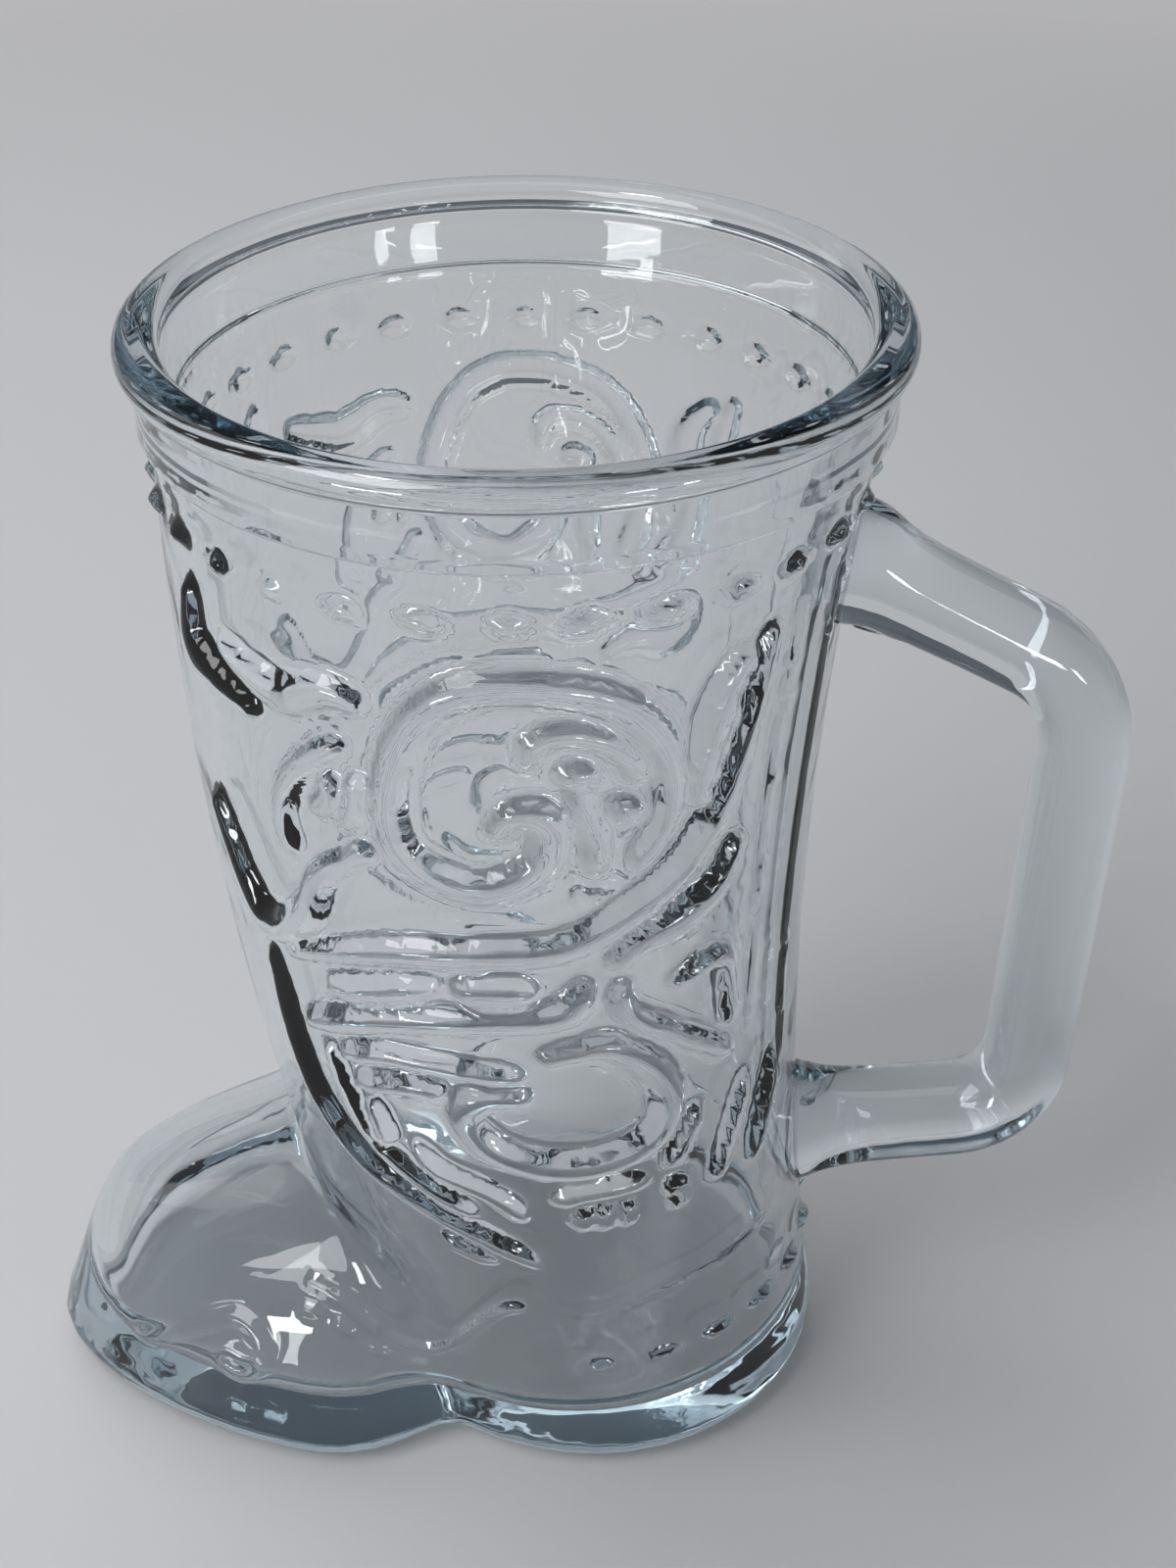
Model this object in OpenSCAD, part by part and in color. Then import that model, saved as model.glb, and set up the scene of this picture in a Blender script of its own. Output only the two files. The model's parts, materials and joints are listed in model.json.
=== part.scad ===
// Boot-shaped drinking glass: a tapering leg with a rolled rim, a foot with sole and heel,
// a bent handle at the back, and raised scroll ornament on both sides.
// Millimetres. +Z is up, the toe points to -X and the handle to +X.
// The origin lies on the floor, below the middle of the mouth.

/* [Rim] */
// Height of the whole glass
total_h = 155; // [140:1:180]
// Outer diameter of the rolled rim
rim_d = 90; // [80:0.5:104]
// Width of the rolled rim, from the mouth to its outer edge
bead_w = 5.6; // [5:0.1:7]
// Height of the rolled rim
bead_h = 4; // [3:0.5:5]
// How far the rolled rim stands out from the collar
bead_proud = 1.8; // [1:0.1:2.4]
// Height of the plain collar below the rim
collar_h = 7; // [4:0.5:12]
// Width of the ledge below the collar
ledge_w = 1.4; // [0.8:0.1:2]

/* [Leg] */
// Outer diameter of the heel on the floor
heel_d = 63; // [58:0.2:68]
// How far the heel's middle lies behind the mouth's middle
heel_set = 9.5; // [5:0.5:14]
// How strongly the leg bows forward between mouth and heel
shaft_bow = 13; // [6:0.5:18]
// Thickness of the glass wall
wall = 3.4; // [2.6:0.1:4.6]

/* [Foot] */
// How far the toe's tip lies ahead of the mouth's middle
toe_len = 69.6; // [62:0.2:80]
// How far the ball of the foot lies ahead of the mouth's middle
ball_len = 27; // [23:0.5:31]
// Width of the sole at the ball of the foot
ball_w = 63.5; // [56:0.5:70]
// How far the ball's outline runs on towards the heel
ball_run = 26; // [22:0.5:30]
// How far the waist of the sole lies ahead of the mouth's middle
waist_len = 12; // [9:0.5:15]
// Height at which the line of the instep starts above the toe's tip
toe_cap_h = 22; // [18:0.5:26]
// Height at which the foot has passed into the leg
ankle_h = 40; // [38:0.5:46]
// Softness of the crease between foot and leg
crease_soft = 2; // [1:0.1:3]
// Thickness of the solid base
base_t = 8; // [6:0.5:11]
// Rounding of the lower edge
edge_r = 2.6; // [1.6:0.1:3.6]
// Height of the arch below the waist
arch_h = 1.6; // [0.8:0.1:2.6]
// Length of the arch below the waist
arch_len = 18; // [12:0.5:20]

/* [Handle] */
// How far the upper bend stands out from the leg's widest place
handle_reach = 28.5; // [24:0.5:36]
// How far the lower bend stands further in than the upper one
grip_lean = 2.8; // [0:0.1:6]
// Depth of the upper root's middle below the top of the glass
upper_root_drop = 31.5; // [28:0.5:38]
// Depth of the upper bend below the top of the glass
upper_bend_drop = 48.3; // [42:0.5:56]
// Height of the lower bend above the floor
lower_bend_z = 37.9; // [34:0.1:46]
// Height of the lower root's middle above the floor
lower_root_z = 35; // [31:0.5:42]
// Radius of the upper bend
upper_bend_r = 16; // [12:0.5:20]
// Radius of the lower bend
lower_bend_r = 11; // [8:0.5:14]
// Thickness of the grip, seen from the side
grip_t = 11.6; // [9:0.1:14]
// Width of the grip, seen from behind
grip_w = 14; // [11:0.5:17]
// Length of each flared root
root_l = 9; // [6:0.5:11]

/* [Ornament] */
// Lowest line of the ornament above the floor
panel_low = 40; // [38:0.5:46]
// Depth of the ornament's top line below the collar
panel_drop = 12; // [9:0.5:20]
// Half of the angle that the ornament of one side covers
panel_angle = 60; // [54:1:62]
// Width of the broad ribbons, as a share of the ornament's shorter side
ribbon_share = 0.041; // [0.03:0.001:0.043]
// Height of the broad ribbons and leaves
ribbon_h = 1.3; // [0.6:0.1:1.6]
// Width of the leaves, as a share of the ornament's shorter side
leaf_share = 0.055; // [0.04:0.001:0.058]
// Width of the fine lines, as a share of the ornament's shorter side
line_share = 0.025; // [0.018:0.001:0.026]
// Height of the fine lines
line_h = 0.9; // [0.4:0.1:1.2]
// Depth of the rim's row of stitches below the collar
stitch_drop = 6.5; // [4:0.5:8]
// Height of the heel's row of stitches above the floor
heel_stitch_z = 21; // [16:0.5:24]
// Distance from one stitch to the next
stitch_pitch = 8.6; // [7:0.1:11]
// Length of a stitch
stitch_len = 4.6; // [3:0.1:5]
// Width of a stitch
stitch_w = 1.4; // [1:0.1:2]
// Height of a stitch
stitch_h = 0.6; // [0.3:0.1:0.9]

/* [Hidden] */

// Heights and diameters that the parts share
bead_z = total_h - bead_h;
ledge_z = bead_z - collar_h;
mouth_d = rim_d - 2 * bead_w;
collar_d = rim_d - 2 * bead_proud;
shaft_top_d = collar_d - 2 * ledge_w;
split_x = -waist_len;

// The panel of one side's ornament, and the widths of its strokes
panel_h = ledge_z - panel_drop - panel_low;
panel_w = shaft_top_d * PI * panel_angle / 180;
ribbon_w = ribbon_share * min(panel_w, panel_h);
leaf_w = leaf_share * min(panel_w, panel_h);
line_w = line_share * min(panel_w, panel_h);

// Tints of the glass and of its ornament
glass = [0.78, 0.87, 0.89, 0.45];
relief = [0.66, 0.78, 0.82, 0.55];

// Fineness of the faceted surfaces
columns = 64;
curve_steps = 4;
halvings = 16;
$fn = 96;

// Slopes of the toe's front and of the instep, and the powers that shape the foot
nose_share = 2.85;
instep_share = 0.33;
nose_power = 6;
plan_power = 1.4;
tip_power = 0.53;
arch_power = 2.6;

// Heights of the facet rows, as shares of the height that each shell covers
foot_row_shares = [0, 0.2, 0.36, 0.48, 0.54, 0.59, 0.64, 0.69, 0.74, 0.79, 0.84, 0.89, 0.95, 1];
cavity_row_shares = [1, 0.88, 0.78, 0.7, 0.62, 0.54, 0.46, 0.34, 0.18, 0];
leg_row_shares = [0, 0.06, 0.14, 0.23, 0.33, 0.43, 0.54, 0.66, 0.78, 0.89, 1];
bore_row_shares = [1, 0.8, 0.6, 0.42, 0.26, 0.12, 0];
base_row_shares = [0, 0.04, 0.12, 0.24, 0.4, 0.7, 1];

// The leg: round sections whose middle wanders with the height
function depth_share(z) = (ledge_z - z) / ledge_z;
function leg_r(z) = (shaft_top_d - (shaft_top_d - heel_d) * depth_share(z)) / 2;
function leg_x(z) = let(s = depth_share(z)) heel_set * s * s - shaft_bow * s * (1 - s);

// Distance from the waist's upright line to the leg's surface, in direction a
function leg_reach(a, z, inset) =
    let(c = leg_x(z) - split_x, r = leg_r(z) - inset)
    c * cos(a) + sqrt(r * r - pow(c * sin(a), 2));

// Height of the foot at a distance d behind the tip of the toe
function foot_top(d) =
    let(nose = nose_share * d, instep = toe_cap_h + instep_share * d)
    pow(pow(nose, -nose_power) + pow(instep, -nose_power), -1 / nose_power);

// Half the width of the sole's forepart at x
function plan_half(x, inset) =
    let(half = ball_w / 2 - inset, tip = toe_len - inset, ahead = (-ball_len - x) / (tip - ball_len))
    ahead >= 1 ? 0
    : ahead > 0 ? half * pow(1 - pow(ahead, plan_power), tip_power)
    : half * sqrt(max(0, 1 - pow((x + ball_len) / ball_run, 2)));

// Half the width of the foot at x and at the height z
function foot_half(x, z, inset) =
    let(d = x + toe_len - inset, top = d > 0 ? foot_top(d) - inset : 0)
    z >= top ? 0 : plan_half(x, inset) * pow(1 - pow(max(0, z) / top, arch_power), 1 / arch_power);

// Distance from the waist's upright line to the foot's surface, found by halving
function foot_reach(a, z, inset, low, high, n) =
    let(mid = (low + high) / 2)
    n == 0 ? mid
    : mid * abs(sin(a)) < foot_half(split_x + mid * cos(a), z, inset)
    ? foot_reach(a, z, inset, mid, high, n - 1)
    : foot_reach(a, z, inset, low, mid, n - 1);

// Foot and leg pass into each other with a soft crease
function soft_max(a, b) = max(a, b) + crease_soft * ln(1 + exp(-abs(a - b) / crease_soft));
function reach(a, z, inset) =
    soft_max(leg_reach(a, z, inset), foot_reach(a, z, inset, 0, toe_len, halvings));
function at(a, z, far) = [split_x + far * cos(a), far * sin(a), z];
function skin(a, z, inset) = at(a, z, reach(a, z, inset));

// Angles of a stretch of columns
function turn(from, to) = let(n = columns * (to - from) / 360) [for (i = [0 : n]) from + (to - from) * i / n];

// A point on the leg's surface, at the angle a from the middle of the left side, raised by h
function on_leg(a, z, h) = [leg_x(z) + (leg_r(z) + h) * sin(a), -(leg_r(z) + h) * cos(a), z];

// A closed skin over a row of rings of equal count; the row is closed too, or ends in two caps
module skinned(rings, closed = false) {
    n = len(rings[0]);
    last = len(rings) - 1;
    function id(i, k) = (i % len(rings)) * n + k % n;
    sides = [for (i = [0 : closed ? last : last - 1]) for (k = [0 : n - 1]) each [
        [id(i, k), id(i, k + 1), id(i + 1, k + 1)],
        [id(i, k), id(i + 1, k + 1), id(i + 1, k)]]];
    caps = closed ? [] : [[for (k = [n - 1 : -1 : 0]) id(0, k)], [for (k = [0 : n - 1]) id(last, k)]];
    polyhedron([for (ring = rings) each ring], concat(sides, caps));
}

// A wall of glass between two heights, with its own rows of facets outside and inside
module glass_wall(angles, low, high, outer_shares, inner_shares, closed) {
    skinned([for (a = angles) concat(
        [for (s = outer_shares) skin(a, low + (high - low) * s, 0)],
        [for (s = inner_shares) skin(a, low + (high - low) * s, wall)])], closed);
}

// Height of the floor side of the base at x: flat but for the arch below the waist
function base_low(x) =
    let(away = abs(x - split_x) / (arch_len / 2))
    away < 1 ? arch_h * pow(cos(90 * away), 2) : 0;
function edge_inset(h) = h < edge_r ? edge_r - sqrt(edge_r * edge_r - pow(edge_r - h, 2)) : 0;
function base_point(a, share) =
    let(full = reach(a, 0, 0), low = base_low(split_x + full * cos(a)), h = (base_t - low) * share)
    at(a, low + h, reach(a, low + h, 0) - edge_inset(h));

// The solid base over a half turn of columns, with a flat face at the waist
module base_slab(angles) {
    n = len(angles) - 1;
    rows = len(base_row_shares);
    function id(i, k) = i * rows + k;
    function across(k) = [for (i = [0 : n / 2 - 1]) let(j = n - i)
        i + 1 == j - 1 ? [id(i, k), id(i + 1, k), id(j, k)]
        : [id(i, k), id(i + 1, k), id(j - 1, k), id(j, k)]];
    function flipped(face) = [for (k = [len(face) - 1 : -1 : 0]) face[k]];
    sides = [for (i = [0 : n - 1]) for (k = [0 : rows - 2]) each [
        [id(i, k), id(i, k + 1), id(i + 1, k + 1)],
        [id(i, k), id(i + 1, k + 1), id(i + 1, k)]]];
    top = [for (face = across(rows - 1)) flipped(face)];
    waist = concat([for (k = [rows - 1 : -1 : 0]) id(0, k)], [for (k = [0 : rows - 1]) id(n, k)]);
    polyhedron([for (a = angles) for (s = base_row_shares) base_point(a, s)],
        concat(sides, across(0), top, [waist]));
}

// A smooth curve through points
function curve_point(p, i, t) =
    let(last = len(p) - 1, a = p[max(0, i - 1)], b = p[i], c = p[min(last, i + 1)], d = p[min(last, i + 2)])
    (2 * b + (c - a) * t + (2 * a - 5 * b + 4 * c - d) * t * t + (3 * b - a - 3 * c + d) * t * t * t) / 2;
function curve(p) = concat(
    [for (i = [0 : len(p) - 2]) for (k = [0 : curve_steps - 1]) curve_point(p, i, k / curve_steps)],
    [p[len(p) - 1]]);

// A raised ridge on the leg along points of angle and height, with a flat crest and tapered ends
end_share = 0.4;
crest_share = 0.42;
module ridge(path, width, height, taper_share) {
    last = len(path) - 1;
    skinned([for (i = [0 : last])
        let(p = path[i], r = leg_r(p[1]), step = path[min(last, i + 1)] - path[max(0, i - 1)],
            run = [step[0] * r * PI / 180, step[1]], across = [-run[1], run[0]] / norm(run),
            t = i / last, full = min(1, end_share + (1 - end_share) * min(t, 1 - t) / taper_share),
            half = width * full / 2)
        [for (s = [[-1, 0], [-crest_share, height * full], [crest_share, height * full], [1, 0]])
            on_leg(p[0] + s[0] * half * across[0] * 180 / PI / r, p[1] + s[0] * half * across[1], s[1])]]);
}

// Strokes of the ornament, from shares of the panel's angle and of a stretch of height
module strokes(table, width, height, taper_share, low = panel_low, rise = panel_h) {
    for (stroke = table)
        ridge(curve([for (p = stroke) [p[0] * panel_angle, low + p[1] * rise]]), width, height, taper_share);
}
ribbon_taper_share = 0.14;
leaf_taper_share = 0.5;

// Two volutes, from the outer tail round to the curled end
scroll_shares = [
    [[0.38, 0.7], [0.46, 0.77], [0.42, 0.87], [0.27, 0.95], [0, 0.98], [-0.19, 0.94], [-0.285, 0.82],
        [-0.24, 0.725], [-0.05, 0.685], [0.11, 0.72], [0.13, 0.785], [0.04, 0.8], [-0.01, 0.765]],
    [[0.1, 0.4], [0.3, 0.41], [0.44, 0.35], [0.49, 0.28], [0.43, 0.23], [0.26, 0.205],
        [0.07, 0.21], [-0.1, 0.245], [-0.16, 0.3], [-0.085, 0.335], [0.03, 0.33]]];
// Curls inside the upper volute and in the bud beside it
curl_shares = [
    [[0.078, 0.87], [0.09, 0.9], [0.157, 0.91], [0.258, 0.895], [0.34, 0.86], [0.373, 0.826]],
    [[0.195, 0.83], [0.225, 0.79], [0.26, 0.75], [0.26, 0.7]],
    [[-0.423, 0.875], [-0.517, 0.837], [-0.6, 0.783], [-0.627, 0.726], [-0.597, 0.685]],
    [[-0.46, 0.82], [-0.455, 0.79], [-0.51, 0.765]],
    [[-0.375, 0.83], [-0.385, 0.79], [-0.42, 0.755]],
    [[0.16, 0.855], [0.25, 0.845]],
    [[0.3, 0.8], [0.37, 0.775]]];
// Leaves on the front and towards the handle
leaf_shares = [
    [[-0.95, 1], [-0.95, 0.93], [-0.85, 0.897], [-0.695, 0.877]],
    [[-0.8, 0.953], [-0.69, 0.933], [-0.575, 0.922], [-0.45, 0.945], [-0.36, 0.935]],
    [[-0.967, 0.69], [-0.917, 0.64], [-0.85, 0.576], [-0.775, 0.538], [-0.673, 0.553],
        [-0.587, 0.592], [-0.517, 0.66], [-0.36, 0.723]],
    [[0.667, 0.967], [0.595, 0.924], [0.567, 0.848], [0.547, 0.766]],
    [[0.713, 0.678], [0.65, 0.625], [0.533, 0.595], [0.405, 0.575], [0.33, 0.545]]];
// The strap that sweeps up to the handle, the strap below it, and the two plates between them
strap_shares = [
    [[-0.7, 0.505], [-0.34, 0.565], [-0.05, 0.58], [0.17, 0.587], [0.34, 0.62], [0.517, 0.68],
        [0.645, 0.776], [0.705, 0.908], [0.742, 0.98]],
    [[-0.68, 0.39], [-0.367, 0.45], [-0.058, 0.47], [0.175, 0.478], [0.23, 0.52]],
    [[-0.55, 0.475], [-0.2, 0.522]],
    [[-0.142, 0.52], [0.088, 0.518]]];
// The pointed yoke over the instep, with its inner line, leaves and dashes
yoke_shares = [
    [[-0.8, 0.475], [-0.777, 0.337], [-0.725, 0.239], [-0.583, 0.158], [-0.367, 0.107],
        [-0.133, 0.054], [-0.017, 0.011]],
    [[-0.62, 0.36], [-0.53, 0.23], [-0.37, 0.16], [-0.19, 0.11]],
    [[-0.56, 0.355], [-0.383, 0.385], [-0.15, 0.38], [0.02, 0.372]],
    [[-0.525, 0.315], [-0.333, 0.337], [-0.225, 0.335]],
    [[-0.48, 0.288], [-0.45, 0.217]],
    [[-0.357, 0.223], [-0.293, 0.188], [-0.193, 0.17], [-0.083, 0.141], [-0.042, 0.107]],
    [[-0.333, 0.052], [-0.158, 0.02]]];
// The hook and the wedge under the strap, the spur's strap with its fringe, and the folds behind it
spur_shares = [
    [[0.34, 0.51], [0.365, 0.457], [0.522, 0.4], [0.75, 0.315]],
    [[0.517, 0.485], [0.68, 0.5], [0.722, 0.43], [0.75, 0.37]],
    [[0.093, 0.141], [0.183, 0.152], [0.397, 0.152]],
    [[0.17, 0.118], [0.16, 0.085]],
    [[0.25, 0.12], [0.235, 0.08]],
    [[0.33, 0.12], [0.315, 0.08]],
    [[0.48, 0.13], [0.53, 0.11], [0.5, 0.085]],
    [[0.608, 0.255], [0.5, 0.163]],
    [[0.833, 0.25], [0.683, 0.098]],
    [[1, 0.24], [0.867, 0.087]]];
// Two upright seams beside the handle
back_seam_shares = [
    [[0.87, 1], [0.86, 0.7], [0.86, 0.32]],
    [[1.1, 1], [1.08, 0.7], [1.08, 0.1]]];
// The upper edge of the heel's counter and its pull loop, between the heel's stitches and the panel
counter_seam_shares = [
    [[0.18, 0.37], [0.272, 0.56], [0.595, 0.64], [1, 0.71]],
    [[0.02, 0.52], [0.035, 0.27], [0.085, 0.22], [0.12, 0.47]]];

// A row of stitches on the leg at one height, between two angles
module stitch_row(z, from, to) {
    dash = stitch_len / leg_r(z) * 180 / PI;
    count = max(2, round((to - from) * PI / 180 * leg_r(z) / stitch_pitch));
    for (i = [0 : count - 1]) {
        a = from + (to - from) * (i + 1 / 2) / count;
        ridge([[a - dash / 2, z], [a, z], [a + dash / 2, z]], stitch_w, stitch_h, leaf_taper_share);
    }
}

// The handle's middle line: two arms and a grip, joined by two bends
upper_bend = [shaft_top_d / 2 + handle_reach, total_h - upper_bend_drop];
lower_bend = [upper_bend[0] - grip_lean, lower_bend_z];
upper_root = [leg_x(total_h - upper_root_drop) + leg_r(total_h - upper_root_drop), total_h - upper_root_drop];
lower_root = [leg_x(lower_root_z) + leg_r(lower_root_z), lower_root_z];
function heading(from, to) = atan2(to[1] - from[1], to[0] - from[0]);
upper_heading = heading(upper_root, upper_bend);
grip_heading = heading(upper_bend, lower_bend);
lower_heading = grip_heading - (grip_heading - heading(lower_bend, lower_root) + 720) % 360;
function ahead(p, angle, far) = p + far * [cos(angle), sin(angle)];
function bend_run(r, from, to) = r * tan(abs(to - from) / 2);
upper_run = bend_run(upper_bend_r, upper_heading, grip_heading);
lower_run = bend_run(lower_bend_r, grip_heading, lower_heading);

// Stations of place, heading and swelling along a straight arm or a bend
root_flare_share = 0.6;
root_step_shares = [0.25, 0.55, 1];
grip_step_shares = [0, 0.2, 0.4, 0.6, 0.8, 1];
bend_step_shares = [for (i = [1 : 9]) i / 10];
sides = 20;
function swelling(share) = 1 + root_flare_share * pow(1 - share, 2);
function bend(corner, r, run, from, to) =
    let(start = ahead(corner, from, -run), middle = ahead(start, from - 90, r))
    [for (s = bend_step_shares) let(h = from + (to - from) * s) [ahead(middle, h + 90, r), h, 1]];
upper_end = ahead(upper_root, upper_heading, root_l);
lower_end = ahead(lower_root, lower_heading, -root_l);
upper_seat = [upper_root, upper_heading, swelling(0)];
lower_seat = [lower_root, lower_heading, swelling(0)];
upper_stations = [for (s = root_step_shares)
    [ahead(upper_root, upper_heading, root_l * s), upper_heading, swelling(s)]];
lower_stations = [for (i = [len(root_step_shares) - 1 : -1 : 0]) let(s = root_step_shares[i])
    [ahead(lower_root, lower_heading, -root_l * s), lower_heading, swelling(s)]];
grip_top = ahead(upper_bend, grip_heading, upper_run);
grip_foot = ahead(lower_bend, grip_heading, -lower_run);
grip_stations = concat(
    [[upper_end, upper_heading, 1], [ahead(upper_bend, upper_heading, -upper_run), upper_heading, 1]],
    bend(upper_bend, upper_bend_r, upper_run, upper_heading, grip_heading),
    [for (s = grip_step_shares) [grip_top + (grip_foot - grip_top) * s, grip_heading, 1]],
    bend(lower_bend, lower_bend_r, lower_run, grip_heading, lower_heading),
    [[ahead(lower_bend, lower_heading, lower_run), lower_heading, 1], [lower_end, lower_heading, 1]]);

// A rounded section of the handle, and rings that lay a root's end on the leg's surface
section_power = 0.85;
seat_shares = [0.3, 0.65, 1];
function swell(v) = sign(v) * pow(abs(v), section_power);
function handle_ring(station, size_share = 1) = [for (k = [0 : sides - 1])
    let(angle = 360 * k / sides, up = grip_t / 2 * station[2] * swell(cos(angle)) * size_share,
        c = ahead(station[0], station[1] + 90, up))
    [c[0], grip_w / 2 * swell(sin(angle)) * size_share, c[1]]];
function on_back(p) = [leg_x(p[2]) + sqrt(pow(leg_r(p[2]), 2) - p[1] * p[1]), p[1], p[2]];
function seat_rings(station) = [for (s = seat_shares) [for (p = handle_ring(station, s)) on_back(p)]];
function free_rings(stations) = [for (station = stations) handle_ring(station)];

module rim_bead() {
    bead_r = bead_h / 2;
    color(glass) rotate_extrude() {
        translate([mouth_d / 2 + bead_r, bead_z + bead_r]) circle(bead_r);
        translate([rim_d / 2 - bead_r, bead_z + bead_r]) circle(bead_r);
        translate([mouth_d / 2 + bead_r, bead_z]) square([(rim_d - mouth_d) / 2 - bead_h, bead_h]);
        translate([mouth_d / 2, bead_z]) square(bead_r);
    }
}

module collar() {
    bore_r = shaft_top_d / 2 - wall;
    color(glass) rotate_extrude()
        polygon([[bore_r, ledge_z], [collar_d / 2, ledge_z], [collar_d / 2, bead_z], [mouth_d / 2, bead_z]]);
}

module shaft() {
    color(glass) glass_wall([for (i = [0 : columns - 1]) 360 * i / columns],
        ankle_h, ledge_z, leg_row_shares, bore_row_shares, true);
}

module vamp() {
    color(glass) glass_wall(turn(90, 270), base_t, ankle_h, foot_row_shares, cavity_row_shares, false);
}

module counter() {
    color(glass) glass_wall(turn(-90, 90), base_t, ankle_h, foot_row_shares, cavity_row_shares, false);
}

module sole() { color(glass) base_slab(turn(90, 270)); }

module heel() { color(glass) base_slab(turn(-90, 90)); }

module handle() { color(glass) skinned(free_rings(grip_stations)); }

module upper_handle_root() {
    color(glass) skinned(concat(seat_rings(upper_seat), free_rings(upper_stations)));
}

module lower_handle_root() {
    rings = seat_rings(lower_seat);
    color(glass) skinned(concat(free_rings(lower_stations), [for (i = [len(rings) - 1 : -1 : 0]) rings[i]]));
}

module rim_stitches() { color(relief) stitch_row(ledge_z - stitch_drop, -90, 270); }

module heel_stitches() { color(relief) stitch_row(heel_stitch_z, 0, 180); }

module left_scrolls() { color(relief) strokes(scroll_shares, ribbon_w, ribbon_h, ribbon_taper_share); }

module left_curls() { color(relief) strokes(curl_shares, line_w, line_h, ribbon_taper_share); }

module left_leaves() { color(relief) strokes(leaf_shares, leaf_w, ribbon_h, leaf_taper_share); }

module left_straps() { color(relief) strokes(strap_shares, ribbon_w, ribbon_h, ribbon_taper_share); }

module left_yoke() { color(relief) strokes(yoke_shares, line_w, line_h, ribbon_taper_share); }

module left_spur() { color(relief) strokes(spur_shares, line_w, line_h, ribbon_taper_share); }

module left_back_seam() { color(relief) strokes(back_seam_shares, line_w, line_h, ribbon_taper_share); }

module left_counter_seam() {
    color(relief) strokes(counter_seam_shares, line_w, line_h, ribbon_taper_share,
        heel_stitch_z, panel_low - heel_stitch_z);
}

// The right side repeats the left one in a mirror
module other_side() { mirror([0, 1, 0]) children(); }

rim_bead();
collar();
shaft();
vamp();
counter();
sole();
heel();
handle();
upper_handle_root();
lower_handle_root();
rim_stitches();
heel_stitches();
left_scrolls();
other_side() left_scrolls();  // right_scrolls
left_curls();
other_side() left_curls();  // right_curls
left_leaves();
other_side() left_leaves();  // right_leaves
left_straps();
other_side() left_straps();  // right_straps
left_yoke();
other_side() left_yoke();  // right_yoke
left_spur();
other_side() left_spur();  // right_spur
left_back_seam();
other_side() left_back_seam();  // right_back_seam
left_counter_seam();
other_side() left_counter_seam();  // right_counter_seam
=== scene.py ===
# %% [markdown]
# # A boot-shaped drinking glass
# A pressed body of clear glass has a leg, a foot, a rolled rim and raised ornament, and a handle is
# sealed to it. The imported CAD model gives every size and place. It is loaded first and never moved.

# %% The frame
import json
import math

import bmesh
import bpy
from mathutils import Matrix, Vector
from mathutils.geometry import intersect_point_line

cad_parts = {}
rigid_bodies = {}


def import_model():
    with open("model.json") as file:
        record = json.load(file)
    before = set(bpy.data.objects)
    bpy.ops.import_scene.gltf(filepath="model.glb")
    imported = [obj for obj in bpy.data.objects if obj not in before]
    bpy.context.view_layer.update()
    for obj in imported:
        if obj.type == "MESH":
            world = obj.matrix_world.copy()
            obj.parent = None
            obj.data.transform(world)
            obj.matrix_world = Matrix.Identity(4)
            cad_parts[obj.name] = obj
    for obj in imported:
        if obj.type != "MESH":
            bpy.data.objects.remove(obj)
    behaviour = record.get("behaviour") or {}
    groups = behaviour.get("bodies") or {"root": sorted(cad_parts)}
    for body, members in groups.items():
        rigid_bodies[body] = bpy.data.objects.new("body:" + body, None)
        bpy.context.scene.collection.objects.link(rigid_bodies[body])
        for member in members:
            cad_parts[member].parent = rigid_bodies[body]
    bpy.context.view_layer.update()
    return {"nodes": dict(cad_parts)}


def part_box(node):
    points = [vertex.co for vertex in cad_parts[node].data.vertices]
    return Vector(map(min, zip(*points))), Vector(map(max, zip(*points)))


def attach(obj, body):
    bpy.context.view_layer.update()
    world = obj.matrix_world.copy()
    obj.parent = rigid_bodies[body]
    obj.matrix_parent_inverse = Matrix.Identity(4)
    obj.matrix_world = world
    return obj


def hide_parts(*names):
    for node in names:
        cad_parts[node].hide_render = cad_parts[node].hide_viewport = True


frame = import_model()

# %% [markdown]
# ## The camera
# The photograph looks down on the near side of the boot. Its place was found from the rim's ellipse and
# the line of the sole on the floor, so the camera stands at that point, tilted down and with no turn.

# %% The camera
eye = (0.0079, -0.2482, 0.2555)
look_down = math.radians(33.54)
bpy.ops.object.select_all(action="DESELECT")
bpy.ops.object.camera_add(location=eye, rotation=(math.pi / 2 - look_down, 0, 0))
camera = bpy.context.object
camera.name = "camera"
camera.data.lens = 54
camera.data.sensor_width = 36
camera.data.clip_start = 0.01
bpy.context.scene.camera = camera
print("camera lens in millimetres:", camera.data.lens)

# %% [markdown]
# ## Helpers for modelling
# Blender's operators act on what is selected, so every step starts by selecting one thing alone. In
# edit mode, vertices, edges and faces are picked by their place or by the way they face.


# %% Helpers for modelling
def only(*objects):
    if bpy.context.object and bpy.context.object.mode != "OBJECT":
        bpy.ops.object.mode_set(mode="OBJECT")
    bpy.ops.object.select_all(action="DESELECT")
    for piece in objects:
        piece.select_set(True)
    bpy.context.view_layer.objects.active = objects[0]


def pick(piece, kind, rule):
    """Goes into edit mode and selects the vertices, edges or faces for which the rule holds."""
    only(piece)
    bpy.ops.object.mode_set(mode="EDIT")
    bpy.ops.mesh.select_mode(type=kind)
    bpy.ops.mesh.select_all(action="DESELECT")
    mesh = bmesh.from_edit_mesh(piece.data)
    items = {"VERT": mesh.verts, "EDGE": mesh.edges, "FACE": mesh.faces}[kind]
    for item in items:
        if rule(item):
            item.select_set(True)
    mesh.select_flush_mode()
    bmesh.update_edit_mesh(piece.data)


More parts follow.
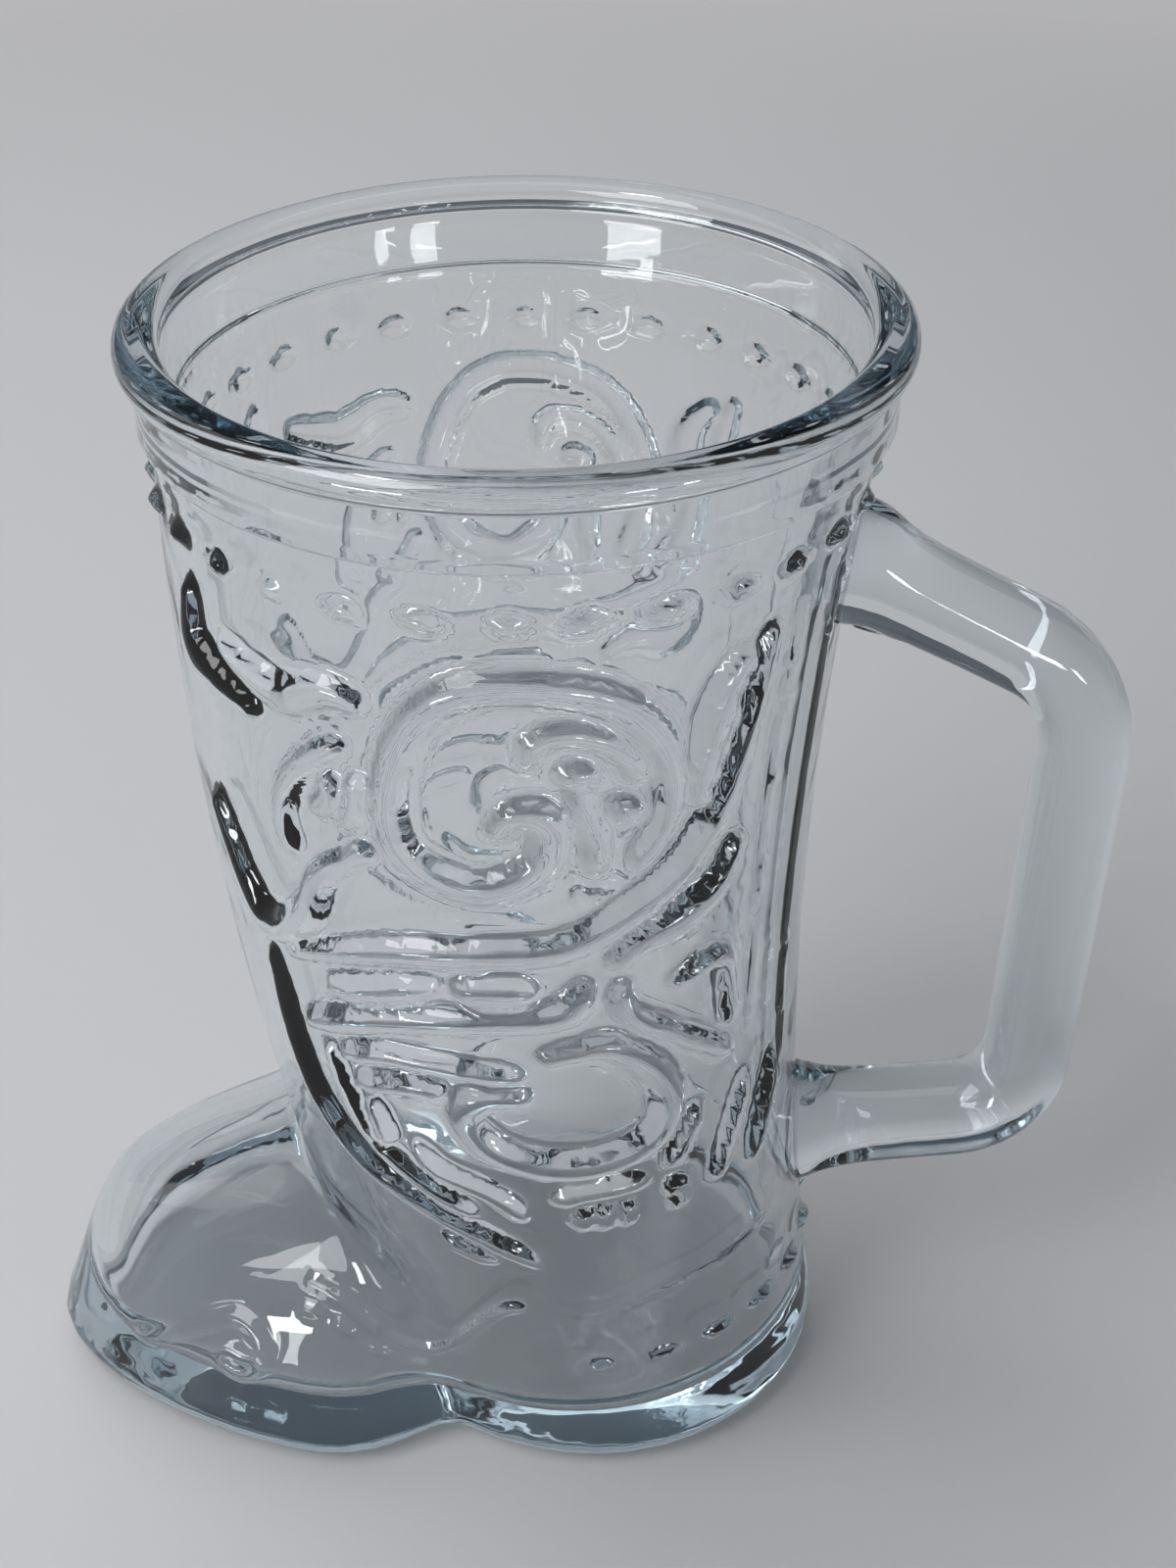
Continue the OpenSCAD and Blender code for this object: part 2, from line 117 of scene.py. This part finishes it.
def finish_modifier(piece, kind, **settings):
    only(piece)
    modifier = piece.modifiers.new(kind.title(), kind)
    for name, value in settings.items():
        setattr(modifier, name, value)
    bpy.ops.object.modifier_apply(modifier=modifier.name)


def mark(piece, name, rule):
    group = piece.vertex_groups.new(name=name)
    group.add([v.index for v in piece.data.vertices if rule(v.co)], 1, "REPLACE")
    return group.name


def close_seams(piece):
    pick(piece, "VERT", lambda v: True)
    bpy.ops.mesh.remove_doubles(threshold=1e-6)
    bpy.ops.object.mode_set(mode="OBJECT")


# %% [markdown]
# ## Guides from the CAD model
# A mould maker works from a master. Here the masters are merged copies of the CAD nodes: one of the
# plain body, three of what is raised on it, and one of the handle. The new mesh is pressed against the
# first four, which are deleted later, and the last becomes the handle itself.


# %% Guides from the CAD model
def guide(name, nodes):
    copies = [bpy.data.objects.new(name, frame["nodes"][node].data.copy()) for node in nodes]
    for copy in copies:
        bpy.context.scene.collection.objects.link(copy)
    only(*copies)
    bpy.ops.object.join()
    close_seams(copies[0])
    return copies[0]


both_sides = sorted(n for n in frame["nodes"] if n.startswith(("left_", "right_")))
seam_nodes = [n for n in both_sides if n.endswith("_seam")]
relief_nodes = [n for n in both_sides if n not in seam_nodes]
handle_nodes = ["handle", "upper_handle_root", "lower_handle_root"]
body_guide = guide("body_guide", ["shaft", "vamp", "counter", "sole", "heel"])
relief_guide = guide("relief_guide", relief_nodes)
stitch_guide = guide("stitch_guide", ["rim_stitches", "heel_stitches"])
seam_guide = guide("seam_guide", seam_nodes)
handle_guide = guide("handle_guide", handle_nodes)
print("nodes with raised ornament:", len(both_sides))

# %% [markdown]
# ## Soft ornament
# Pressed glass has no sharp edge. A bevel would need clean edges, which the guides' facets don't have,
# so they are remeshed in small voxels and smoothed. Relief and stitches are then swollen, because
# smoothing shrinks them, and the seams are made thinner. Only the raised faces are kept: those that
# look at the leg's middle go.

# %% Soft ornament
voxel = 0.0004
relief_swell, stitch_swell, seam_swell = 0.0008, 0.0007, -0.0004
for raised, swell in ((relief_guide, relief_swell), (stitch_guide, stitch_swell), (seam_guide, seam_swell)):
    finish_modifier(raised, "REMESH", mode="VOXEL", voxel_size=voxel)
    finish_modifier(raised, "SMOOTH", factor=0.5, iterations=5)
    finish_modifier(raised, "DISPLACE", strength=swell, mid_level=0)
    pick(raised, "FACE", lambda f: f.normal.xy.dot(f.calc_center_median().xy) < 0)
    bpy.ops.mesh.delete(type="FACE")
    bpy.ops.object.mode_set(mode="OBJECT")
print("faces of the ornament's guide:", len(relief_guide.data.polygons))

# %% [markdown]
# ## The outer skin
# The leg and foot could be drawn as a cage and subdivided, but the ornament needs a fine, even net of
# faces. So a wide tube of many faces is set round the guide and shrunk onto it, straight towards the
# upright line through the waist, as a stretched rubber sleeve would lie down on the boot. Smoothing
# then takes away the guide's facets.

# %% Sizes read from the frame
waist_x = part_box("vamp")[1].x
base_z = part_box("sole")[1].z
ankle_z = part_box("shaft")[0].z
ledge_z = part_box("collar")[0].z
bead_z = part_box("rim_bead")[0].z
top_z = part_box("rim_bead")[1].z
leg_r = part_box("shaft")[1].y
collar_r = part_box("collar")[1].y
rim_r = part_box("rim_bead")[1].y
print("heights:", [round(z, 4) for z in (base_z, ankle_z, ledge_z, bead_z, top_z)])

# %% A tube of faces round the waist
# A hair's breadth, for picking what lies at one height.
hair = 0.0001


def tube(name, radius, columns, low, high, rows):
    bpy.ops.object.select_all(action="DESELECT")
    bpy.ops.mesh.primitive_cylinder_add(vertices=columns, radius=radius, depth=high - low,
                                        end_fill_type="NOTHING", location=(waist_x, 0, (low + high) / 2))
    piece = bpy.context.object
    piece.name = name
    bpy.ops.object.transform_apply(location=True, rotation=True, scale=True)
    pick(piece, "EDGE", lambda e: abs(e.verts[0].co.z - e.verts[1].co.z) > hair)
    bpy.ops.mesh.subdivide(number_cuts=rows - 1)
    bpy.ops.object.mode_set(mode="OBJECT")
    return piece


# %% A sleeve shrunk onto the guide
held_end = 0.0015
waist_reach, waist_top = 0.009, 0.02


def sleeve(name, radius, columns, heights, rows, inwards, mouth_radius):
    """Stacked tubes with rows of their own, shrunk onto the body's guide and freed of its facets."""
    tubes = [tube(name, radius, columns, *span, n) for span, n in zip(zip(heights, heights[1:]), rows)]
    only(*tubes)
    bpy.ops.object.join()
    piece = tubes[0]
    close_seams(piece)
    finish_modifier(piece, "SHRINKWRAP", target=body_guide, wrap_method="PROJECT",
                    use_negative_direction=inwards, use_positive_direction=not inwards)
    low, high = heights[0] + held_end, heights[-1] - held_end
    free = mark(piece, "free", lambda co: low < co.z < high)
    finish_modifier(piece, "SMOOTH", factor=0.5, iterations=40, vertex_group=free)
    waist = mark(piece, "waist", lambda co: abs(co.x - waist_x) < waist_reach and co.z < waist_top)
    finish_modifier(piece, "SMOOTH", factor=0.5, iterations=60, use_z=False, vertex_group=waist)
    mouth = mark(piece, "mouth", lambda co: co.z > heights[-1] - hair)
    finish_modifier(piece, "CAST", cast_type="CYLINDER", factor=1, size=mouth_radius,
                    use_radius_as_size=False, use_z=False, vertex_group=mouth)
    return piece


# %% The outer skin
edge_r = 0.004
below_ankle = 0.002
around_all = 0.08
columns, skin_rows = 360, (56, 73, 73)
skin_heights = (edge_r + hair, ankle_z - below_ankle, (ankle_z + ledge_z) / 2, ledge_z - hair)
skin = sleeve("boot_glass", around_all, columns, skin_heights, skin_rows, True, leg_r)
print("outer skin:", len(skin.data.polygons), "faces")

# %% [markdown]
# ## The ornament
# Volutes, leaves, straps and stitches are pressed out of the wall, so they have soft edges and no seam.
# They could be separate pieces laid on the leg, but then light would break at each joint. So every
# point of the skin below an ornament's guide moves straight out onto it.

# %% The ornament
press_reach = 0.003
for raised in (seam_guide, relief_guide, stitch_guide):
    finish_modifier(skin, "SHRINKWRAP", target=raised, wrap_method="PROJECT", use_positive_direction=True,
                    use_negative_direction=False, project_limit=press_reach)
print("ornament pressed, box:", [round(d * 1000, 1) for d in skin.dimensions])

# %% [markdown]
# ## Lines on the foot
# Fine lines on the foot aren't in the CAD model. They could be sculpted, but a line with a height is
# easier to change: a vertex group fades out on both sides of it, and a Displace modifier raises what is
# in the group.


# %% Lines on the foot
def raise_line(piece, name, points, reach, height):
    """Raises a soft ridge along a line of (x, z) points in millimetres, on both sides of the boot."""
    line = [Vector((x, 0, z)) / 1000 for x, z in points]
    low = [min(p[i] for p in line) - reach for i in range(3)]
    high = [max(p[i] for p in line) + reach for i in range(3)]
    group = piece.vertex_groups.new(name=name)
    for vertex in piece.data.vertices:
        spot = Vector((vertex.co.x, 0, vertex.co.z))
        if not all(low[i] < spot[i] < high[i] for i in range(3)):
            continue
        gaps = []
        for a, b in zip(line, line[1:]):
            share = intersect_point_line(spot, a, b)[1]
            gaps.append((spot - a.lerp(b, min(max(share, 0), 1))).length)
        if min(gaps) < reach:
            group.add([vertex.index], 0.5 + 0.5 * math.cos(math.pi * min(gaps) / reach), "REPLACE")
    finish_modifier(piece, "DISPLACE", strength=height, mid_level=0, vertex_group=name)


# %% [markdown]
# ## Seam and stitches
# A wavy seam runs along each side of the foot, with a few stitches below it. The wave is two halves of
# a cosine that meet at its dip, so that three pairs of numbers give the whole line.

# %% Seam and stitches
dip_x, dip_z = -13.5, 19.3
toe_run, toe_rise = 15.5, 8
heel_run, heel_rise = 12.5, 13.2
seam_start, seam_end = -29, 0
seam_reach, stitch_reach, line_h = 0.0014, 0.0013, 0.001


def seam_z(x):
    """Half a wave up to the toe on one side of the dip, and half a wave up to the heel on the other."""
    run, rise = (toe_run, toe_rise) if x < dip_x else (heel_run, heel_rise)
    return dip_z + rise / 2 * (1 - math.cos(math.pi * (x - dip_x) / run))


raise_line(skin, "foot_seam", [(x, seam_z(x)) for x in range(seam_start, seam_end)], seam_reach, line_h)
stitch_drop, half_stitch = 2.8, 0.8
for i, x in enumerate((-29, -24.3, -19.6, -14.9)):
    stitch = [(x + end, seam_z(x + end) - stitch_drop) for end in (-half_stitch, half_stitch)]
    raise_line(skin, f"foot_stitch_{i}", stitch, stitch_reach, line_h)
print("seam runs up to", round(max(seam_z(x) for x in range(seam_start, seam_end)), 1), "mm")

# %% [markdown]
# ## Toe curl
# A curl sits on each side of the toe: most of a circle, with a straight tail that runs towards the tip.
# After it, one round of smoothing softens all that is raised, like the flame that polishes pressed
# glass.

# %% Toe curl
curl_x, curl_z, curl_r = -39, 17.6, 3.5
tail_end = (-53, 14)
curl_reach = 0.0018
curl = []
for a in range(-126, 115, 20):
    turn = math.radians(a)
    curl.append((curl_x + curl_r * math.cos(turn), curl_z + curl_r * math.sin(turn)))
raise_line(skin, "toe_curl", curl + [tail_end], curl_reach, line_h)
finish_modifier(skin, "SMOOTH", factor=0.5, iterations=1, vertex_group="free")
print("lines raised, box:", [round(d * 1000, 1) for d in skin.dimensions])

# %% [markdown]
# ## The underside
# The lower edge could be bevelled once the floor is closed. Insets of the floor face, each one sunk a
# little, give the round edge and the floor's outline in one go. The floor gets a grid of faces, and its
# middle is raised with a soft fall-off, which gives the low arch below the waist.


# %% A rounded floor
def thin_out(piece, low, high):
    """Collapses every second edge of the ring between two heights, to go on with a coarser net."""
    mesh = bmesh.from_edit_mesh(piece.data)
    loop = [e for e in mesh.edges if e.select and all(low < v.co.z < high for v in e.verts)]
    for edge in mesh.edges:
        edge.select_set(False)
    middle = {e: (e.verts[0].co + e.verts[1].co) / 2 for e in loop}
    loop.sort(key=lambda e: math.atan2(middle[e].y, middle[e].x - waist_x))
    for edge in loop[::2]:
        edge.select_set(True)
    bmesh.update_edit_mesh(piece.data)
    bpy.ops.mesh.merge(type="COLLAPSE")


def rounded_floor(piece, ring_z, radius):
    """Closes a tube's lowest ring with a rounded edge and a floor."""
    pick(piece, "EDGE", lambda e: all(v.co.z < ring_z + hair for v in e.verts))
    bpy.ops.mesh.edge_face_add()
    bpy.ops.mesh.select_mode(type="FACE")
    turn = [math.radians(a) for a in (0, 22.5, 45, 67.5, 90)]
    for a, b in zip(turn, turn[1:]):
        bpy.ops.mesh.inset(thickness=radius * (math.cos(a) - math.cos(b)), depth=0)
        bpy.ops.transform.translate(value=(0, 0, radius * (math.sin(a) - math.sin(b))))
    bpy.ops.mesh.delete(type="ONLY_FACE")
    floor_z = ring_z - radius
    pick(piece, "EDGE", lambda e: all(v.co.z < floor_z + hair for v in e.verts))
    thin_out(piece, floor_z - hair, floor_z + hair)
    pick(piece, "EDGE", lambda e: e.is_boundary and all(v.co.z < floor_z + hair for v in e.verts))
    bpy.ops.mesh.fill_grid()
    bpy.ops.object.mode_set(mode="OBJECT")


# %% The underside
arch_h, arch_run = 0.001, 0.009
rounded_floor(skin, edge_r + hair, edge_r + hair)
pick(skin, "VERT", lambda v: v.co.z < hair and abs(v.co.x - waist_x) < arch_run / 6)
bpy.ops.transform.translate(value=(0, 0, arch_h), use_proportional_edit=True,
                            proportional_edit_falloff="SMOOTH", proportional_size=arch_run)
bpy.ops.object.mode_set(mode="OBJECT")
print("underside closed:", len(skin.data.polygons), "faces")

# %% [markdown]
# ## Collar and rolled rim
# Above the ornament the wall steps out to a plain collar and ends in a rolled rim. Both are round about
# the mouth's middle, so they could be spun as a piece of their own. Extruding the skin's top ring along
# their profile keeps them in one with the leg, over the rim and a little way down inside.

# %% The profile of collar and rim
mouth_r = 0.0398
soft = 0.0005
bead_r = (top_z - bead_z) / 2
bead_mid = bead_z + bead_r


def bead_arc(middle_r, start, end):
    turns = [math.radians(a) for a in range(start, end + 1, 15)]
    return [(middle_r + bead_r * math.cos(a), bead_mid + bead_r * math.sin(a)) for a in turns]


profile = [(leg_r + soft / 2, ledge_z), (collar_r - soft, ledge_z)]
profile += [(collar_r - soft * 0.3, ledge_z + soft * 0.3), (collar_r, ledge_z + soft)]
profile += [(collar_r, bead_z - soft), (collar_r + soft * 0.4, bead_z)]
profile += bead_arc(rim_r - bead_r, -60, 90) + bead_arc(mouth_r + bead_r, 90, 180)
profile.append((mouth_r, bead_z))
print("rings in the profile:", len(profile))


# %% Collar and rolled rim
def draw_rings(start, rings):
    """Extrudes the selected ring through (radius, height) rings, and returns the last one."""
    ring_r, ring_z = start
    for r, z in rings:
        bpy.ops.mesh.extrude_region_move(TRANSFORM_OT_translate={"value": (0, 0, z - ring_z)})
        bpy.ops.transform.resize(value=(r / ring_r, r / ring_r, 1), center_override=(0, 0, z))
        ring_r, ring_z = r, z
    return ring_r, ring_z


wall = 0.0034
lip, lip_drop, throat_lift = 0.0002, 0.0009, 0.0008
throat_r = leg_r - wall - lip
pick(skin, "EDGE", lambda e: all(v.co.z > ledge_z - 2 * hair for v in e.verts))
inner_edge = draw_rings((leg_r, ledge_z - hair), profile)
thin_out(skin, bead_z - hair, bead_z + hair)
pick(skin, "EDGE", lambda e: e.is_boundary)
draw_rings(inner_edge, ((mouth_r - lip, bead_z - lip_drop), (throat_r + lip, ledge_z + throat_lift)))
bpy.ops.object.mode_set(mode="OBJECT")
print("rim drawn, top at", round(max(v.co.z for v in skin.data.vertices), 4))

# %% [markdown]
# ## The inside
# The plunger that presses the inside is smooth, so the bore has no ornament and a Solidify modifier
# would be wrong. A narrow tube inside the guide is blown out onto its inner wall instead. A faint
# swelling gives the uneven inner face that makes light swim in pressed glass.

# %% The inside
bore_edge_r = 0.005
inside_all = 0.004
bore_rows = (30, 30)
inner_z = base_z + bore_edge_r
bore_heights = (inner_z, ankle_z, ledge_z - hair)
bore = sleeve("bore", inside_all, columns // 2, bore_heights, bore_rows, False, throat_r)
ripple = bpy.data.textures.new("ripple", "CLOUDS")
ripple.noise_scale = 0.016
ripple_h = 0.0003
finish_modifier(bore, "DISPLACE", texture=ripple, texture_coords="LOCAL", strength=ripple_h, mid_level=0.5,
                vertex_group="free")
rounded_floor(bore, inner_z, inner_z - base_z)
print("bore:", len(bore.data.polygons), "faces")

# %% [markdown]
# ## One body of glass
# The CAD model has each zone of the glass as a solid of its own. Here they are one mesh, because the
# real body is one pressing and a renderer shows a mirror-like face wherever two pieces of glass touch.
# Skin and bore are joined, the two open rings below the rim are bridged, and all faces are turned to
# look out of the glass.

# %% One body of glass
only(skin, bore)
bpy.ops.object.join()
pick(skin, "EDGE", lambda e: e.is_boundary)
bpy.ops.mesh.bridge_edge_loops()
bpy.ops.mesh.select_all(action="SELECT")
bpy.ops.mesh.normals_make_consistent(inside=False)
bpy.ops.object.mode_set(mode="OBJECT")
print("body:", len(skin.data.polygons), "faces")

# %% [markdown]
# ## The handle
# The handle is a bent bar with flared roots, sealed to the leg while hot. The guide already has its
# run, so it is made whole, its facets are turned into a cage of four-sided faces, and a subdivision
# surface rounds them. Its two ends are pushed a little way into the wall, as a hot handle sinks in when
# it is pressed on.

# %% The handle
sunk, seat_reach = 0.0018, 0.003
seat_x = leg_r + seat_reach
handle = handle_guide
handle.name = "glass_handle"
pick(handle, "FACE", lambda f: False)
bpy.ops.mesh.select_interior_faces()
bpy.ops.mesh.delete(type="FACE")
bpy.ops.mesh.select_all(action="SELECT")
bpy.ops.mesh.tris_convert_to_quads(face_threshold=math.radians(60), shape_threshold=math.radians(60))
bpy.ops.object.mode_set(mode="OBJECT")
pick(handle, "FACE", lambda f: f.normal.x < -0.3 and f.calc_center_median().x < seat_x)
bpy.ops.mesh.extrude_region_move(TRANSFORM_OT_translate={"value": (-sunk, 0, 0)})
bpy.ops.object.mode_set(mode="OBJECT")
finish_modifier(handle, "SUBSURF", levels=1, render_levels=1)
print("handle:", len(handle.data.polygons), "faces")

# %% [markdown]
# ## Into the frame
# The masters have done their work and go. Each of the two finished pieces rides on the one body of the
# part and stands for its CAD nodes, which stay for collision but no longer show.

# %% Into the frame
for master in (body_guide, relief_guide, stitch_guide, seam_guide):
    bpy.data.objects.remove(master)
only(skin, handle)
bpy.ops.object.shade_smooth()
body_nodes = [n for n in frame["nodes"] if n not in handle_nodes]
for piece, stands_for in ((skin, body_nodes), (handle, handle_nodes)):
    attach(piece, "root")
    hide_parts(*stands_for)
    print(piece.name, "stands for", len(stands_for), "nodes")

# %% [markdown]
# ## The glass
# Clear soda glass bends light with an index of 1.52. Its faint blue-grey cast only shows where light
# runs a long way through it, so the cast is an absorption inside the glass and not a paint on it. A
# slow noise in the bump gives the skin of pressed glass, and a little roughness varies as the polish
# does.

# %% The glass
glass = bpy.data.materials.new("pressed_glass")
glass.use_nodes = True
nodes, links = glass.node_tree.nodes, glass.node_tree.links
shader, output = nodes["Principled BSDF"], nodes["Material Output"]
shader.inputs["Base Color"].default_value = (0.98, 0.99, 0.99, 1)
shader.inputs["Transmission Weight"].default_value = 1
shader.inputs["IOR"].default_value = 1.52
inside = nodes.new("ShaderNodeVolumeAbsorption")
inside.inputs["Color"].default_value = (0.6, 0.72, 0.78, 1)
inside.inputs["Density"].default_value = 28
links.new(inside.outputs["Volume"], output.inputs["Volume"])
print("material:", glass.name)

# %% The skin of the glass
place = nodes.new("ShaderNodeTexCoord")
waves = nodes.new("ShaderNodeTexNoise")
waves.inputs["Scale"].default_value = 90
waves.inputs["Detail"].default_value = 2
bump = nodes.new("ShaderNodeBump")
bump.inputs["Strength"].default_value = 0.15
bump.inputs["Distance"].default_value = 0.0005
polish = nodes.new("ShaderNodeMapRange")
polish.inputs["To Min"].default_value = 0.0
polish.inputs["To Max"].default_value = 0.03
links.new(place.outputs["Object"], waves.inputs["Vector"])
links.new(waves.outputs["Fac"], bump.inputs["Height"])
links.new(bump.outputs["Normal"], shader.inputs["Normal"])
links.new(waves.outputs["Fac"], polish.inputs["Value"])
links.new(polish.outputs["Result"], shader.inputs["Roughness"])
for piece in (skin, handle):
    piece.data.materials.clear()
    piece.data.materials.append(glass)
print("nodes in the glass:", len(nodes))

# %% [markdown]
# ## The floor
# The glass stands on a round pale sheet. A sheet with an edge would draw a line behind the glass, so
# its rim fades out into a background of the same tone. The fade is a gradient on the sheet's own
# coordinates.

# %% The floor
sheet_r, sheet_z = 1.0, -0.0003
bpy.ops.object.select_all(action="DESELECT")
bpy.ops.mesh.primitive_circle_add(vertices=96, radius=sheet_r, fill_type="NGON", location=(0, 0, sheet_z))
sheet = bpy.context.object
sheet.name = "pale_sheet"
print("sheet:", [round(d, 2) for d in sheet.dimensions])

# %% The sheet's finish
fade_start, fade_end = 0.35, 0.95
pale = (0.5, 0.5, 0.51, 1)
paper = bpy.data.materials.new("pale_sheet")
paper.use_nodes = True
nodes, links = paper.node_tree.nodes, paper.node_tree.links
matt = nodes["Principled BSDF"]
matt.inputs["Base Color"].default_value = pale
matt.inputs["Roughness"].default_value = 0.9
place = nodes.new("ShaderNodeTexCoord")
length = nodes.new("ShaderNodeVectorMath")
length.operation = "LENGTH"
fade = nodes.new("ShaderNodeMapRange")
fade.interpolation_type = "SMOOTHSTEP"
for socket, value in (("From Min", fade_start), ("From Max", fade_end), ("To Min", 1), ("To Max", 0)):
    fade.inputs[socket].default_value = value
links.new(place.outputs["Object"], length.inputs[0])
links.new(length.outputs["Value"], fade.inputs["Value"])
links.new(fade.outputs["Result"], matt.inputs["Alpha"])
sheet.data.materials.append(paper)
print("the sheet fades from", fade_start, "to", fade_end, "m")

# %% [markdown]
# ## Light
# Two large soft lamps, above and at the front left, light the glass. Clear glass lets light through to
# the floor, which a renderer only finds by luck, so a third lamp casts no shadow and stands for that
# light. A small lamp and three narrow ones in front give the highlights, on the foot and on the inner
# face of the rim.


# %% A lamp
def lamp(name, place, aim, size, power, tint=(1, 1, 1)):
    bpy.ops.object.select_all(action="DESELECT")
    bpy.ops.object.light_add(type="AREA", location=place)
    piece = bpy.context.object
    piece.name = name
    piece.data.shape = "RECTANGLE"
    piece.data.size, piece.data.size_y = size
    piece.data.energy = power
    piece.data.color = tint
    away = [a - b for a, b in zip(place, aim)]
    flat = math.hypot(away[0], away[1])
    piece.rotation_euler = (math.atan2(flat, away[2]), 0, math.atan2(away[1], away[0]) + math.pi / 2)
    return piece


# %% Light
cool = (0.99, 0.99, 1)
lamp("soft_above", (-0.2, 0.5, 0.8), (0, 0.2, 0), (1.2, 0.9), 3, cool)
lamp("soft_left", (-0.42, -0.36, 0.66), (0, 0.1, 0), (0.45, 0.45), 3.6, cool)
fill = lamp("soft_through", (-0.3, 0.4, 0.8), (0, 0.1, 0), (0.8, 0.8), 3, cool)
fill.data.use_shadow = False
fill.visible_glossy = fill.visible_transmission = False
lamp("small_foot", (-0.25, -0.1, 0.7), (0, 0, 0.1), (0.1, 0.06), 0.5)
far, lamp_z, lamp_h, glow = 1.05, 0.12, 0.12, 60
rim_inside = (0, 0.035, 0.148)
for name, azimuth, width in (("narrow_rim", 46.5, 0.08), ("near_rim", 33, 0.16), ("wide_rim", -38, 0.35)):
    a = math.radians(azimuth)
    stand = (far * math.sin(a), -far * math.cos(a), lamp_z)
    lamp(name, stand, rim_inside, (width, lamp_h), glow * width * lamp_h)

# %% [markdown]
# ## A dark card
# Glass shows its shape only by what it bends into view. A dark card out of the picture makes the edges
# dark that bend the view upwards. The card casts no shadow, and the camera can't see it.

# %% A dark card
card_w, card_y = 1.0, 0.4
card_low, card_high = 0.14, 0.8
bpy.ops.object.select_all(action="DESELECT")
bpy.ops.mesh.primitive_plane_add(size=card_w, location=(0, card_y, (card_low + card_high) / 2),
                                 rotation=(math.pi / 2, 0, 0))
card = bpy.context.object
card.name = "back_card"
bpy.ops.transform.resize(value=(1, 1, (card_high - card_low) / card_w))
bpy.ops.object.transform_apply(location=True, rotation=True, scale=True)
paint = bpy.data.materials.new("back_card")
paint.use_nodes = True
matt = paint.node_tree.nodes["Principled BSDF"]
matt.inputs["Base Color"].default_value = (0.08, 0.1, 0.12, 1)
matt.inputs["Roughness"].default_value = 1
card.data.materials.append(paint)
card.visible_camera = card.visible_diffuse = card.visible_shadow = False
print("card from", round(min(v.co.z for v in card.data.vertices), 2), "m, size", list(card.dimensions))

# %% [markdown]
# ## The background
# For the camera, and for what the glass mirrors and bends, the background has the sheet's own pale
# tone. As a source of light it is dimmer, so that the lamps do the lighting.

# %% The background
dim = (0.1, 0.11, 0.12, 1)
studio = bpy.data.worlds.new("studio")
bpy.context.scene.world = studio
studio.use_nodes = True
nodes, links = studio.node_tree.nodes, studio.node_tree.links
rays = nodes.new("ShaderNodeLightPath")
seen = nodes.new("ShaderNodeMath")
seen.operation = "MAXIMUM"
bent = nodes.new("ShaderNodeMath")
bent.operation = "MAXIMUM"
tones = nodes.new("ShaderNodeMix")
tones.data_type = "RGBA"
# A Mix node keeps its colour sockets after those for numbers and vectors.
tones.inputs[6].default_value = dim
tones.inputs[7].default_value = pale
links.new(rays.outputs["Is Glossy Ray"], bent.inputs[0])
links.new(rays.outputs["Is Transmission Ray"], bent.inputs[1])
links.new(rays.outputs["Is Camera Ray"], seen.inputs[0])
links.new(bent.outputs["Value"], seen.inputs[1])
links.new(seen.outputs["Value"], tones.inputs[0])
links.new(tones.outputs[2], nodes["Background"].inputs["Color"])
nodes["Background"].inputs["Strength"].default_value = 1
print("background:", studio.name)

# %% [markdown]
# ## The picture
# Light is bent and mirrored many times inside glass. With few bounces the ornament's lines go black,
# and with many mirrorings they go flat and grey, so the glossy bounces get a limit of their own.

# %% The picture
bpy.context.scene.view_settings.view_transform = "Standard"
cycles = bpy.context.scene.cycles
cycles.max_bounces = cycles.transmission_bounces = 32
cycles.glossy_bounces = 8
